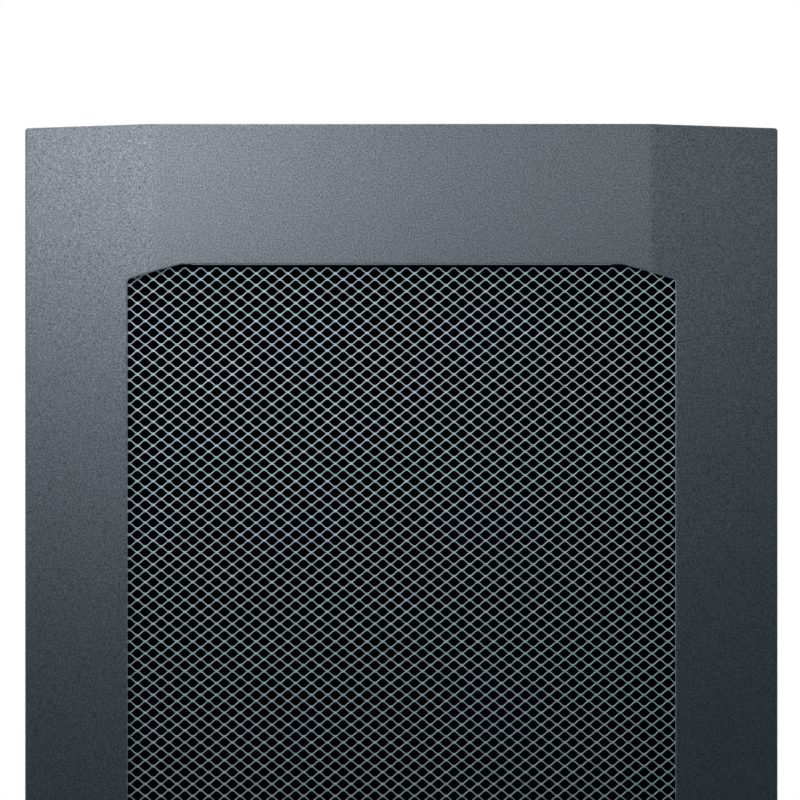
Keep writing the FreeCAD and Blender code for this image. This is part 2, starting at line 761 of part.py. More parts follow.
def lock_node(piece, label):
    node(piece, label, LOCK_X, LOCK_Y, "door_height / 2", facet_turn(1, FACE_FRONT))


def lock_body():
    """Housing: bevelled head on the facet, threaded barrel through it, counterbore for the plug's head."""
    housing = turned("lock_housing", [
        ("0", "lock_head_height"), ("lock_head_radius - lock_head_bevel", "lock_head_height"),
        ("lock_head_radius", "lock_head_height - lock_head_bevel"), ("lock_head_radius", "0"), ("0", "0"),
    ])
    thread = flats(BARREL_FLATS, f"lock_barrel_radius * cos({180 / BARREL_FLATS})")
    pad(housing, polygon(housing, "XY_Plane", thread), "lock_barrel_length", backwards=True)
    centre = [("0", "0")]
    pocket(housing, circles(housing, "XY_Plane", centre, "plug_radius + running_clearance"))
    mouth = circles(housing, "XY_Plane", centre, "plug_head_radius + running_clearance", "lock_head_height")
    pocket(housing, mouth, "plug_head_height + running_clearance")
    lock_node(housing, "lock_body")


def lock_clamping():
    """Washer on the facet's back and the nut that draws the housing against the facet."""
    bore = "lock_barrel_radius + nut_clearance"
    washer_foot = "-(sheet + lock_washer_height)"
    rim = f"lock_washer_radius * cos({180 / BARREL_FLATS})"
    washer = ring("lock_ring", BARREL_FLATS, rim, BARREL_FLATS, bore, "lock_washer_height", washer_foot)
    lock_node(washer, "lock_washer")
    nut_foot = f"{washer_foot} - lock_nut_height"
    nut = ring("lock_hexagon", 6, "lock_nut_across / 2", BARREL_FLATS, bore, "lock_nut_height", nut_foot)
    lock_node(nut, "lock_nut")


def lock_plug():
    """Plug: head with a key slot, shank in the housing's bore, square drive and a tapped end for the cam."""
    owner = turned("plug", [
        ("0", "lock_head_height"), ("plug_head_radius", "lock_head_height"),
        ("plug_head_radius", "lock_head_height - plug_head_height"),
        ("plug_radius", "lock_head_height - plug_head_height"), ("plug_radius", "-lock_barrel_length"),
        ("0", "-lock_barrel_length"),
    ])
    foot = f"-{PLUG_END}"
    pad(owner, polygon(owner, "XY_Plane", flats(4, "drive_width / 2"), foot), "cam_gap + cam_thickness")
    tapped = flats(THREAD_FLATS, "cam_screw_radius + cam_screw_clearance")
    pocket(owner, polygon(owner, "XY_Plane", tapped, foot), "cam_screw_length", upward=True)
    half_width = "key_slot_width / 2"
    half_length = "key_slot_length / 2"
    slot = [
        (half_width, half_length), (f"-{half_width}", half_length), (f"-{half_width}", f"-{half_length}"),
        (half_width, f"-{half_length}"),
    ]
    pocket(owner, polygon(owner, "XY_Plane", slot, "lock_head_height"), "key_slot_depth")
    lock_node(owner, "lock_plug")


def lock_cam():
    """Flat cam on the plug's square drive that narrows from its hub to the clipped tip that latches."""
    owner = body("cam")
    upper = [
        ("cam_reach", "cam_tip_width / 4"), ("cam_reach - cam_tip_width / 4", "cam_tip_width / 2"),
        ("cam_hub_radius / 2", "cam_hub_radius"), ("-cam_hub_radius / 2", "cam_hub_radius"),
        ("-cam_hub_radius", "cam_hub_radius / 2"),
    ]
    outline = upper + [(across, f"-({up})") for across, up in reversed(upper)]
    top = "-(lock_barrel_length + cam_gap)"
    pad(owner, polygon(owner, "XY_Plane", outline, top), "cam_thickness", backwards=True)
    pocket(owner, polygon(owner, "XY_Plane", flats(4, "drive_width / 2 + drive_clearance"), top))
    lock_node(owner, "lock_cam")


def cam_screw():
    """Screw that holds the cam on the plug's drive, its end clear of the tapped hole's."""
    owner = body("cam_bolt")
    top = f"-{PLUG_END}"
    head = flats(RING_FLATS, f"cam_screw_head_radius * cos({180 / RING_FLATS})")
    pad(owner, polygon(owner, "XY_Plane", head, top), "cam_screw_head_height", backwards=True)
    shank = flats(THREAD_FLATS, f"cam_screw_radius * cos({180 / THREAD_FLATS})")
    pad(owner, polygon(owner, "XY_Plane", shank, top), "cam_screw_length - cam_screw_radius")
    lock_node(owner, "cam_screw")


# Small pieces on the pan

def bumpers():
    """Rubber buttons on the latch-side lip that meet the rack when the door shuts."""
    height = "(2 * hinge_gap - bumper_rack_gap)"
    rim = f"{height} / 4"
    buttons = []
    for place in ("bumper_end_height", "door_height - bumper_end_height"):
        button = body("bumper")
        pad(button, polygon(button, "XY_Plane", flats(RING_FLATS, "bumper_foot_radius")), rim)
        taper = button.newObject("PartDesign::AdditiveLoft", "bumper_taper")
        taper.Profile = polygon(button, "XY_Plane", flats(RING_FLATS, "bumper_foot_radius"), rim)
        taper.Sections = [polygon(button, "XY_Plane", flats(RING_FLATS, "bumper_tip_radius"), height)]
        taper.Ruled = True
        put(button, f"{HALF_WIDTH} - lip_width / 2 - bend_radius / 2", BACK, place, FACE_BACK)
        buttons.append(button)
    node(group("bumper_group", buttons), "bumpers")


def earth_point():
    """Stud welded inside the bottom rail, with the washer and nut that clamp an earth tag."""
    at = ("-earth_side", "sheet", "earth_height", FACE_BACK)
    bore = "earth_stud_radius + nut_clearance"
    node(bar("bond_stud", THREAD_FLATS, "earth_stud_radius", "earth_stud_length"), "earth_stud", *at)
    rim = f"earth_washer_radius * cos({180 / RING_FLATS})"
    washer = ring("bond_washer", RING_FLATS, rim, THREAD_FLATS, bore, "earth_washer_height")
    node(washer, "earth_washer", *at)
    nut = ring("bond_nut", 6, "earth_nut_across / 2", THREAD_FLATS, bore, "earth_nut_height")
    node(nut, "earth_nut", "-earth_side", "sheet + earth_washer_height", "earth_height", FACE_BACK)


door_skin()
vent_mesh()
stile_clamp(-1, "mesh_clamp_hinge_side")
stile_clamp(1, "mesh_clamp_latch_side")
for rail, (edge, up) in RAIL_EDGES.items():
    rail_clamp(f"mesh_clamp_{rail}", edge, up)
clamp_fasteners()
for hinge_name, hinge_height in HINGE_HEIGHTS.items():
    hinge(hinge_name, hinge_height)
hinge_rivets()
lock_body()
lock_clamping()
lock_plug()
lock_cam()
cam_screw()
bumpers()
earth_point()
doc.recompute()

for item in doc.Objects:
    if {"Invalid", "Error"} & set(item.State):
        raise RuntimeError(f"{item.Label} failed: {item.State}")
for piece in nodes:
    if piece.Shape.isNull() or not piece.Shape.isValid():
        raise RuntimeError(f"{piece.Label} has no valid shape")

os.makedirs("parts", exist_ok=True)
for piece in nodes:
    piece.Shape.exportStep(f"parts/{piece.Label}.step")
    print(f"{piece.Label}: {len(piece.Shape.Solids)} solids, {piece.Shape.Volume / 1000:.2f} cm3")
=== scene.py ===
import json
import math

import bmesh
import bpy
import numpy as np
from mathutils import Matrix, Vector


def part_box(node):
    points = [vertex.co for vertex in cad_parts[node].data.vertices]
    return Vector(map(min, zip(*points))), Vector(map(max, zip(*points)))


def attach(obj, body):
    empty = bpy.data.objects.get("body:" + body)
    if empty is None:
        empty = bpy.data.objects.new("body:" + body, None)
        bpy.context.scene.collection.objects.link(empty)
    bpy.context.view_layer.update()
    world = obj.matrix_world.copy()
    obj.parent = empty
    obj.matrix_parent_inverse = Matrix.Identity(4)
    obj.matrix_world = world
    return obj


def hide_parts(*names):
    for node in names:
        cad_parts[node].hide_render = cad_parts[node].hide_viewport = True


# Dresses the vented rack door: the folded sheet skin with its cut-cornered window, the expanded-metal mesh
# behind the window, the fixings and the lock, and a plain studio around them. Sizes are metres in the packed
# part's frame, or millimetres where a section says so. Door coordinates run right from the door's middle line,
# back from its front face and up from its foot.

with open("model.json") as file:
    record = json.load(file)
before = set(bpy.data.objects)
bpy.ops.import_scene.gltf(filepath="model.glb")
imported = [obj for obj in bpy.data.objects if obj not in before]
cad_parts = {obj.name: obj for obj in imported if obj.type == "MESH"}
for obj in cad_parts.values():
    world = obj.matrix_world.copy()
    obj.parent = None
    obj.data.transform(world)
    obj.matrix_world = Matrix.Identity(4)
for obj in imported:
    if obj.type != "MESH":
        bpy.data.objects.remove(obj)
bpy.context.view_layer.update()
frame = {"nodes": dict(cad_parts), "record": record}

MM = 0.001
MERGE = 0.001 * MM  # points nearer than this are one point
SKIN_LOW, SKIN_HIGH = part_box("door_skin")
MESH_LOW, MESH_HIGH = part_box("vent_mesh")
MIDDLE_X = (SKIN_LOW.x + SKIN_HIGH.x) / 2
HALF_WIDTH = (SKIN_HIGH.x - SKIN_LOW.x) / 2
HEIGHT = SKIN_HIGH.z - SKIN_LOW.z
DEPTH = SKIN_HIGH.y - SKIN_LOW.y
ORIGIN = np.array([MIDDLE_X, SKIN_LOW.y, SKIN_LOW.z])  # of door coordinates
CORNERS = ((-1, -1), (1, -1), (1, 1), (-1, 1))  # of an oblong, in turn

# Folded sheet
SHEET = 1.5 * MM
HALF_PANEL = 199 * MM  # middle line to the fold where a facet starts
FACET_RECESS = 25.5 * MM  # how far a facet falls back on its way to the side
FOLD_RADIUS = 22 * MM  # panel to facet
BEND_RADIUS = 3 * MM  # facet to side
REAR_BEND_RADIUS = 2 * MM  # side to rear lip
EDGE_RADIUS = 2.5 * MM  # front to the top and bottom ends
HINGE_LIP = 24 * MM
LATCH_LIP = 18 * MM
FACET_ANGLE = math.atan(FACET_RECESS / (HALF_WIDTH - HALF_PANEL))
FACET_SHEET = SHEET / math.cos(FACET_ANGLE)  # a facet's thickness, measured straight back
HOLD = 1.5 * MM  # from a curve to the column that keeps its shading off the flat beside it

# Window
WINDOW_HALF = 219.5 * MM
RAIL = 112 * MM
CUT_WIDTH = 43.5 * MM
CUT_HEIGHT = 12 * MM
CUT_START = WINDOW_HALF - CUT_WIDTH
CUT_ANGLE = math.atan2(CUT_HEIGHT, CUT_WIDTH)
TIGHT_RADIUS = 3 * MM  # cut corner to the window's side
SOFT_RADIUS = 15 * MM  # cut corner to the window's top
RETURN_HALF = 168 * MM  # half the flange that runs back from the window's top and bottom
RETURN_DEPTH = 9.5 * MM

# Expanded metal
LONG_PITCH = 12.7 * MM
SHORT_PITCH = 9.525 * MM
STRAND_WIDTH = 1.03 * MM
STRAND_DEPTH = 1.1 * MM
RIDGE_DROP = 0.34 * MM  # the strand's front ridge lies below its middle, as the slanted cut leaves it
BOND_LENGTH = 2.2 * MM
LATTICE_SHIFT = -2.2 * MM  # a bond's place beside the door's middle line
LATTICE_DROP = 6.9 * MM  # the first opening's middle below the rail
BORDER_REVEAL = 1 * MM  # how far the border stays back behind the window's edge


# Meshes

def make_piece(name, vertices, faces, body, slot, merge=False, closed=False):
    """Mesh object from vertices and faces that rides on a body and has the finish of a slot. Merging makes one
    of points that touch, and the faces of closed shapes are then turned outward."""
    mesh = bpy.data.meshes.new(name)
    mesh.from_pydata(vertices.tolist(), [], faces)
    if merge:
        work = bmesh.new()
        work.from_mesh(mesh)
        bmesh.ops.remove_doubles(work, verts=work.verts, dist=MERGE)
        bmesh.ops.dissolve_degenerate(work, edges=work.edges, dist=MERGE)
        if closed:
            bmesh.ops.recalc_face_normals(work, faces=work.faces)
        work.to_mesh(mesh)
        work.free()
    mesh.validate()
    mesh.materials.append(finishes[slot])
    piece = bpy.data.objects.new(name, mesh)
    bpy.context.scene.collection.objects.link(piece)
    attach(piece, body)
    return piece


def grid_faces(rows, columns, start=0, around=False, ring=False, flip=False):
    """Quads of a grid of points that are numbered row by row: each joins a point to the next in its row and
    column. A grid that goes around joins its last column to its first, and a ring its last row too."""
    row, column = np.meshgrid(np.arange(rows - (not ring)), np.arange(columns - (not around)), indexing="ij")
    below = (row + 1) % rows
    beside = (column + 1) % columns
    quads = np.stack([
        row * columns + column, row * columns + beside, below * columns + beside, below * columns + column,
    ], axis=-1).reshape(-1, 4) + start
    return (quads[:, ::-1] if flip else quads).tolist()


def smooth(piece, degrees):
    """Shade a piece smooth, apart from edges that turn by more than an angle."""
    piece.data.shade_smooth()
    piece.data.set_sharp_from_angle(angle=math.radians(degrees))


def to_frame(x, y, z):
    """Points of the frame from door coordinates: the same points, moved by the door's own origin."""
    return np.stack(np.broadcast_arrays(x, y, z), axis=-1).astype(float) + ORIGIN


# Door skin

def eased_slope(x, corner, radius, angle):
    """How far a line has dropped at x: level at first, then an arc of a radius that turns it down by an angle,
    then a straight slope. The level and the slope would meet at the corner."""
    start = corner - radius * math.tan(angle / 2)
    end = start + radius * math.sin(angle)
    run = np.clip(x, start, end) - start
    return np.where(x > end, (x - corner) * math.tan(angle), radius - np.sqrt(radius ** 2 - run ** 2))


def front_depth(x):
    """How far the front lies behind the panel: flat, round the fold and down the facet."""
    return eased_slope(np.abs(x), HALF_PANEL, FOLD_RADIUS, FACET_ANGLE)


def window_edge(x):
    """How far the window's top edge lies below the door's top at a distance from the middle line: level, round
    the soft corner, down the cut, and an arc of the tight radius that ends upright."""
    x = np.abs(x)
    tight_run = TIGHT_RADIUS * math.tan((math.pi / 2 - CUT_ANGLE) / 2)
    tight_start = WINDOW_HALF - tight_run * math.cos(CUT_ANGLE)
    centre_drop = (tight_start - CUT_START) * math.tan(CUT_ANGLE) + TIGHT_RADIUS * math.cos(CUT_ANGLE)
    run = np.clip(x - WINDOW_HALF + TIGHT_RADIUS, -TIGHT_RADIUS, TIGHT_RADIUS)
    tight = centre_drop - np.sqrt(TIGHT_RADIUS ** 2 - run ** 2)
    return RAIL + np.where(x > tight_start, tight, eased_slope(x, CUT_START, SOFT_RADIUS, CUT_ANGLE))


def plan_line(x, y):
    """Plan points of a straight or bent run. One number stands for all of its points."""
    return np.stack(np.broadcast_arrays(x, y), axis=-1)


def plan_arc(x, y, radius, start, end, count):
    """Plan points of an arc about a centre, from one angle to another: cosine sideways and sine back."""
    angle = np.linspace(start, end, count)
    return plan_line(x + radius * np.cos(angle), y + radius * np.sin(angle))


def half_plan(lip):
    """One half of the sheet's plan line, from the middle of the panel round the fold, the bends and the rear
    lip: the front follows its depth, each bend is an arc, and the runs between them are straight. Columns are
    close where the front or the window's edge curves, and the plain runs keep a little clear of those."""
    fold_start = HALF_PANEL - FOLD_RADIUS * math.tan(FACET_ANGLE / 2)
    fold = fold_start + np.linspace(0, 1, 9) * FOLD_RADIUS * math.sin(FACET_ANGLE)
    soft = CUT_START + np.linspace(-1.1, 1.1, 7) * SOFT_RADIUS * math.tan(CUT_ANGLE / 2)
    tight = WINDOW_HALF - TIGHT_RADIUS * (1 - np.sin(np.linspace(CUT_ANGLE, math.pi / 2, 9)))
    holds = [fold[0] - HOLD, fold[-1] + HOLD, WINDOW_HALF + HOLD]
    bend_start = HALF_WIDTH - BEND_RADIUS * math.tan((math.pi / 2 - FACET_ANGLE) / 2) * math.cos(FACET_ANGLE)
    panel = np.linspace(0, CUT_START - 6 * MM, 14)
    facet = np.linspace(WINDOW_HALF + 8 * MM, bend_start - 2 * MM, 8)
    front = np.unique(np.round(np.concatenate([panel, facet, fold, soft, tight, holds, [bend_start]]), 7))
    bend_y = front_depth(bend_start) + BEND_RADIUS * math.cos(FACET_ANGLE)
    rear_x, rear_y = HALF_WIDTH - REAR_BEND_RADIUS, DEPTH - REAR_BEND_RADIUS
    return np.concatenate([
        plan_line(front, front_depth(front)),
        plan_arc(HALF_WIDTH - BEND_RADIUS, bend_y, BEND_RADIUS, FACET_ANGLE - math.pi / 2, 0, 8)[1:],
        plan_line(HALF_WIDTH, np.linspace(bend_y + 1 * MM, rear_y - 1 * MM, 3)),
        plan_arc(rear_x, rear_y, REAR_BEND_RADIUS, 0, math.pi / 2, 6),
        plan_line(np.linspace(rear_x - 1 * MM, HALF_WIDTH - lip, 4), DEPTH),
    ])


def door_skin():
    """Folded sheet of the door. Each end is a grid whose columns run along the plan line and whose rows rise
    from the window's edge to the door's end, where they turn in by a quarter round of the edge radius that fades
    out on the rear lips. Two more grids make the stiles, a flat face and a lip close each end, and a flat return
    runs back from the window's top and bottom edges."""
    left = half_plan(HINGE_LIP)[::-1] * np.array([-1, 1])
    plan = np.concatenate([left, half_plan(LATCH_LIP)[1:]])
    along = np.gradient(plan, axis=0)
    inward = np.stack([-along[:, 1], along[:, 0]], axis=-1)
    inward /= np.linalg.norm(inward, axis=1, keepdims=True)
    rear = plan[:, 1] - (DEPTH - REAR_BEND_RADIUS)
    radius = EDGE_RADIUS * np.clip(1 - rear / REAR_BEND_RADIUS, 0, 1)
    edge = window_edge(np.where(rear < 0, plan[:, 0], HALF_WIDTH))

    # Rows, as shares of the way from the window's edge to the end's round: one close to each, one at the lip
    stile_drop = float(window_edge(HALF_WIDTH))
    lip_share = 1 - LATCH_LIP / stile_drop
    share = np.unique(np.concatenate([np.linspace(0, 1, 15), [0.012, 0.98, lip_share]]))
    flat_drop = edge + (radius - edge) * share[:, None]
    turn = np.linspace(0, math.pi / 2, 7)[1:, None]
    drop = np.concatenate([flat_drop, radius * (1 - np.sin(turn))])
    inset = np.concatenate([np.zeros_like(flat_drop), radius * (1 - np.cos(turn))])
    x = plan[:, 0] + inward[:, 0] * inset
    y = plan[:, 1] + inward[:, 1] * inset
    top, bottom = to_frame(x, y, HEIGHT - drop), to_frame(x, y, drop)
    grids = [(top, False), (bottom, True)]

    lip = np.searchsorted(share, lip_share)
    grids += [(top[lip:][:, [-1, 0]], False), (bottom[lip:][:, [-1, 0]], True)]
    heights = np.linspace(stile_drop, HEIGHT - stile_drop, 41)[:, None]
    for stile in (plan[plan[:, 0] <= MERGE - WINDOW_HALF], plan[plan[:, 0] >= WINDOW_HALF - MERGE]):
        grids.append((to_frame(stile[:, 0], stile[:, 1], heights), False))
    return_x = np.linspace(-RETURN_HALF, RETURN_HALF, 15)
    return_y = np.array([SHEET / 2, RETURN_DEPTH])[:, None]
    for z, flip in ((HEIGHT - RAIL, True), (RAIL, False)):
        grids.append((to_frame(return_x, return_y, z), flip))

    faces, count = [], 0
    for grid, flip in grids:
        faces += grid_faces(*grid.shape[:2], count, flip=flip)
        count += grid.size // 3
    rows, columns = drop.shape
    end = np.arange((rows - 1) * columns, rows * columns)
    faces += [end.tolist(), (end + rows * columns)[::-1].tolist()]
    vertices = np.concatenate([grid.reshape(-1, 3) for grid, _ in grids])
    skin = make_piece("folded_door_skin", vertices, faces, "door", "powder_coat", merge=True)
    smooth(skin, 35)
    wall = skin.modifiers.new("sheet", "SOLIDIFY")
    wall.thickness = SHEET
    wall.offset = -1
    wall.use_even_offset = True
    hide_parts("door_skin")


# Expanded-metal mesh

def strand_rows():
    """Strands as an array (row, station, side, 3). Each row is a zigzag with level bonds at its peaks and
    troughs, and meets the next row, half a long pitch out of step, bond to bond. The section is a ridge at the
    front between an upper and a lower back edge, moved straight up or down from the zigzag."""
    half_pitch = LONG_PITCH / 2
    reach = WINDOW_HALF + BORDER_REVEAL + half_pitch
    first = math.ceil((-reach - LATTICE_SHIFT) / half_pitch)
    last = math.floor((reach - LATTICE_SHIFT) / half_pitch)
    bond = np.repeat(np.arange(first, last + 1), 2)
    end = np.tile([-1, 1], last + 1 - first)
    x = LATTICE_SHIFT + bond * half_pitch + end * BOND_LENGTH / 2
    rise = SHORT_PITCH / 2 - STRAND_WIDTH
    top = HEIGHT - RAIL - LATTICE_DROP + SHORT_PITCH / 4
    row = np.arange(math.floor((top - RAIL - rise) / (SHORT_PITCH / 2)) + 1)[:, None]
    peak = np.where((bond + row) % 2, 0.5, -0.5)
    z = top - row * SHORT_PITCH / 2 + peak * rise
    side_z = np.array([STRAND_WIDTH / 2, -RIDGE_DROP, -STRAND_WIDTH / 2])
    side_y = MESH_LOW.y - SKIN_LOW.y + np.array([1, 0, 1]) * STRAND_DEPTH
    return to_frame(x[None, :, None], side_y, z[:, :, None] + side_z)


def border_ring():
    """Flat border as an array (station, corner, 3): a rectangular section carried once round the window's
    outline, from the window's edge out to the mesh's own rectangle."""
    inner_x = WINDOW_HALF + BORDER_REVEAL
    inner_z = HEIGHT / 2 - RAIL + BORDER_REVEAL
    outer_x = MESH_HIGH.x - MIDDLE_X
    outer_z = (MESH_HIGH.z - MESH_LOW.z) / 2
    cut_x = inner_x - CUT_WIDTH
    cut_z = inner_z - CUT_HEIGHT
    inner = np.array([[inner_x, cut_z], [(inner_x + cut_x) / 2, (inner_z + cut_z) / 2], [cut_x, inner_z]])
    outer = np.array([[outer_x, cut_z], [outer_x, outer_z], [cut_x, outer_z]])
    quarter = np.stack([inner, outer], axis=1)
    half = np.concatenate([quarter, quarter[::-1] * np.array([-1, 1])])
    loop = np.concatenate([half, -half])
    section = loop[:, [0, 1, 1, 0]]
    depth = np.array([MESH_LOW.y, MESH_LOW.y, MESH_HIGH.y, MESH_HIGH.y]) - SKIN_LOW.y
    return to_frame(section[..., 0], depth, HEIGHT / 2 + section[..., 1])


def vent_mesh():
    """Expanded metal in one piece: strands from side to side, each a tube of its section with both ends closed,
    and the flat border that they run into."""
    strands = strand_rows()
    border = border_ring()
    rows, stations, sides = strands.shape[:3]
    step = stations * sides
    starts = np.arange(rows)[:, None, None] * step
    walls = starts + np.array(grid_faces(stations, sides, around=True))
    ends = starts + np.array([[0, 1, 2], [step - 1, step - 2, step - 3]])
    faces = walls.reshape(-1, 4).tolist() + ends.reshape(-1, 3).tolist()
    faces += grid_faces(*border.shape[:2], rows * step, around=True, ring=True)
    vertices = np.concatenate([strands.reshape(-1, 3), border.reshape(-1, 3)])
    mesh = make_piece("expanded_mesh", vertices, faces, "door", "mesh_coat")
    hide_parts("vent_mesh")


# Shapes of the turned and hexagonal fittings, in millimetres about their own axis, with rows of (reach, height)

LOCK_FACE = 4  # front of the lock's head and plug, before the facet
BARREL_END = -38  # back end of the lock's housing
DRIVE_END = -40.9  # back end of the plug's square, which the screw's head clamps


def even_angles(count):
    """Angles of a whole turn in equal steps."""
    return np.arange(count) * 2 * math.pi / count


def flats(angle, sides):
    """Reach of a regular outline of inner radius 1: the secant of the turn from the nearest flat's middle."""
    half = math.pi / sides
    return 1 / np.cos((angle + half) % (2 * half) - half)


def oblong(angle, width, length):
    """Reach of an oblong outline: the nearer of its two pairs of sides along each direction."""
    tiny = 1e-6
    side = width / 2 / np.maximum(np.abs(np.cos(angle)), tiny)
    end = length / 2 / np.maximum(np.abs(np.sin(angle)), tiny)
    return np.minimum(side, end)


def rings(angle, rows):
    """Surface as an array (row, angle, 3): each row is a reach, for all angles or for each, and a height."""
    reach = np.stack([np.broadcast_to(r, angle.shape) for r, _ in rows])
    height = np.array([h for _, h in rows])[:, None]
    return np.stack(np.broadcast_arrays(reach * np.cos(angle), reach * np.sin(angle), height), axis=-1)


def rounded(reach, height, radius, start, end, count):
    """Rows of a round about a centre, from one angle to another: cosine outward and sine upward."""
    angle = np.linspace(start, end, count)
    return list(zip(reach + radius * np.cos(angle), height + radius * np.sin(angle)))


def thread(angle, radius, pitch, low, high):
    """Rows of a threaded bar, six to a pitch: the reach dips by the thread's depth once in each pitch along the
    bar, with a narrow flat at crest and root, the dip climbs one pitch in each turn, and the ends are
    chamfered."""
    height = np.linspace(low, high, round((high - low) / pitch * 6) + 1)
    wave = np.abs((height[:, None] / pitch - angle / (2 * math.pi)) % 1 * 2 - 1)
    depth = 0.5 * pitch
    reach = radius - depth * np.clip(1.25 * wave - 0.125, 0, 1)
    lead = radius - depth + np.minimum(height - low, high - height)
    return list(zip(np.minimum(reach, lead[:, None]), height))


def stud(radius, pitch, length):
    """Threaded stud with a flat foot and end."""
    angle = even_angles(24)
    return rings(angle, [(0, 0)] + thread(angle, radius, pitch, 0, length) + [(0, length)])


def nut(across, height, bore, foot):
    """Hexagon nut: the reach is the lesser of the hexagon's and of a shallow cone at each end, and the bore has
    a countersink at both ends."""
    angle = even_angles(48)
    sink = 0.3
    cone = 0.95 * across / 2
    slope = math.tan(math.pi / 6)
    depth = (across / 2 / math.cos(math.pi / 6) - cone) * slope
    level = np.concatenate([np.linspace(height, height - depth, 5), np.linspace(depth, 0, 5)])
    limit = cone + np.minimum(level, height - level) / slope
    outside = list(zip(np.minimum(flats(angle, 6) * across / 2, limit[:, None]), level + foot))
    mouth = [(bore, foot + height - sink), (bore + sink, foot + height)]
    return rings(angle, mouth + outside + [(bore + sink, foot), (bore, foot + sink)] + mouth[:1])


def washer(radius, bore, height, foot):
    """Flat ring whose rim is slightly rounded off."""
    top, ease = foot + height, 0.15
    return rings(even_angles(48), [
        (bore, top), (radius - ease, top), (radius, top - ease), (radius, foot + ease), (radius - ease, foot),
        (bore, foot), (bore, top),
    ])


def rivet():
    """Blind rivet: a low dome with the pulled mandrel's hollow, a shank and the swollen end inside the pan."""
    head, crown, shank, swell, length = 3.4, 1, 2, 2.8, 6.5
    hollow = [(0, 0.3), (0.7, 0.3), (0.8, 0.95)]
    turn = np.linspace(math.radians(75), 0, 8)
    dome = list(zip(head * np.cos(turn), crown * np.sin(turn)))
    inside = [(shank, 0), (shank, -3.5), (swell - 0.2, -3.7), (swell, -4.3), (swell, -5.8)]
    return rings(even_angles(32), hollow + dome + inside + [(swell - 0.5, -length), (0, -length)])


def hinge_pin():
    """Drawn pin with chamfered ends."""
    radius, chamfer, top, foot = 2.5, 0.5, 28, -30
    return rings(even_angles(48), [
        (0, top), (radius - chamfer, top), (radius, top - chamfer),
        (radius, foot + chamfer), (radius - chamfer, foot), (0, foot),
    ])


def bumper():
    """Rubber button: a short upright rim, a taper and a rounded tip."""
    rim, tip, height, soft = 7, 5.2, 10, 0.9
    foot = [(0, 0), (rim - 0.2, 0), (rim, 0.2), (rim, 2.2), (rim - 0.15, 2.6)]
    end = rounded(tip - soft, height - soft, soft, 0, math.pi / 2, 6)
    return rings(even_angles(40), foot + end + [(0, height)])


def lock_body():
    """Lock housing: a bevelled head with a counterbore for the plug's face, and a threaded, bored barrel."""
    angle = even_angles(72)
    head, bore, counterbore, seat, ease = 13, 6.55, 8.55, 1.95, 0.15
    inside = [
        (bore, BARREL_END), (bore, seat), (counterbore, seat),
        (counterbore, LOCK_FACE - ease), (counterbore + ease, LOCK_FACE),
    ]
    bevel = [(head - 1.35, LOCK_FACE), (head - 1.1, LOCK_FACE - 0.07), (head - 0.13, 2.98), (head, 2.75)]
    barrel = thread(angle, 9.5, 1.25, BARREL_END, -0.6)[::-1]
    return rings(angle, inside + bevel + [(head, 0), (9, 0)] + barrel + inside[:1])


def lock_plug():
    """Lock plug: a face with a key slot, a shank, a square drive and a tapped end. The rows grow from the
    slot's oblong to the face's round and on to the drive's square."""
    width, length, ease = 1.6, 7.5, 0.15
    face, shank, shoulder, rim = 8.5, 6.5, 2, 0.2
    corner = math.atan2(length / 2, width / 2)
    corners = [corner, math.pi - corner, math.pi + corner, 2 * math.pi - corner]
    angle = np.unique(np.concatenate([even_angles(72), corners]))
    slot = oblong(angle, width, length)
    mouth = oblong(angle, width + 2 * ease, length + 2 * ease)
    drive = 3.5 * np.minimum(flats(angle, 4), 1.3)
    tapped, tap_end = 2.05, DRIVE_END + 8
    return rings(angle, [
        (0, -2), (slot, -2), (slot, LOCK_FACE - ease), (mouth, LOCK_FACE),
        (face - rim, LOCK_FACE), (face, LOCK_FACE - rim), (face, shoulder),
        (shank, shoulder), (shank, BARREL_END), (drive, BARREL_END), (drive, DRIVE_END),
        (tapped, DRIVE_END), (tapped, tap_end), (0, tap_end),
    ])


def cam_screw():
    """Pan-head screw with a crossed recess: the recess is the greater of two oblongs."""
    angle = even_angles(96)
    arm, blade = 4.6, 1
    head, soft, rim, tip = 5, 1.4, DRIVE_END - 1, DRIVE_END + 6
    cross = np.maximum(oblong(angle, blade, arm), oblong(angle, arm, blade))
    recess = [(0, rim), (0.5 * cross, rim - 0.1), (cross, rim - soft)]
    pan = rounded(head - soft, rim, soft, -math.pi / 2, 0, 7)
    shank = thread(angle, 2, 0.7, DRIVE_END, tip)
    return rings(angle, recess + pan + [(head, DRIVE_END)] + shank + [(0, tip)])


# Places of the fittings, in door millimetres

STRIP_STUD_X = 250.333  # on both facets
STRIP_STUD_HEIGHTS = np.linspace(164, 1086, 4)
RAIL_STUD_SPREAD = (-125, 0, 125)
RAIL_STUD_HEIGHTS = (88.75, 1161.25)
HINGE_HEIGHTS = {"lower": 150, "upper": 1100}
HINGE_AXIS = (-299, 52.7)  # across and back
RIVET_SPOT = (-287.4, 49.5)  # across and back
RIVET_RISE = 18  # above and below a hinge's middle
LOCK_SPOT = (273, 625)  # across and up
BUMPER_SPOT = (294.5, 47.5)  # across and back
BUMPER_HEIGHTS = (120, 1130)
EARTH_SPOT = (-120, SHEET / MM, 40)  # across, back and up


def facing(turn, way):
    """Axes of a fitting that points to the back (way 1) or the front (way -1), turned about the upright."""
    across = np.array([math.cos(turn), math.sin(turn), 0])
    out = np.array([-way * math.sin(turn), way * math.cos(turn), 0])
    return np.stack([across, np.cross(out, across), out])


def on_facet(x, z, way):
    """Place square to a facet: on its inner face and pointing back (way 1), or on its front and out (-1)."""
    depth = front_depth(x * MM) + (FACET_SHEET if way > 0 else 0)
    return np.array([x, depth / MM, z]), facing(math.copysign(FACET_ANGLE, x), way)


def to_back(x, y, z):
    """Place of a fitting that points straight back."""
    return np.array([x, y, z]), facing(0, 1)


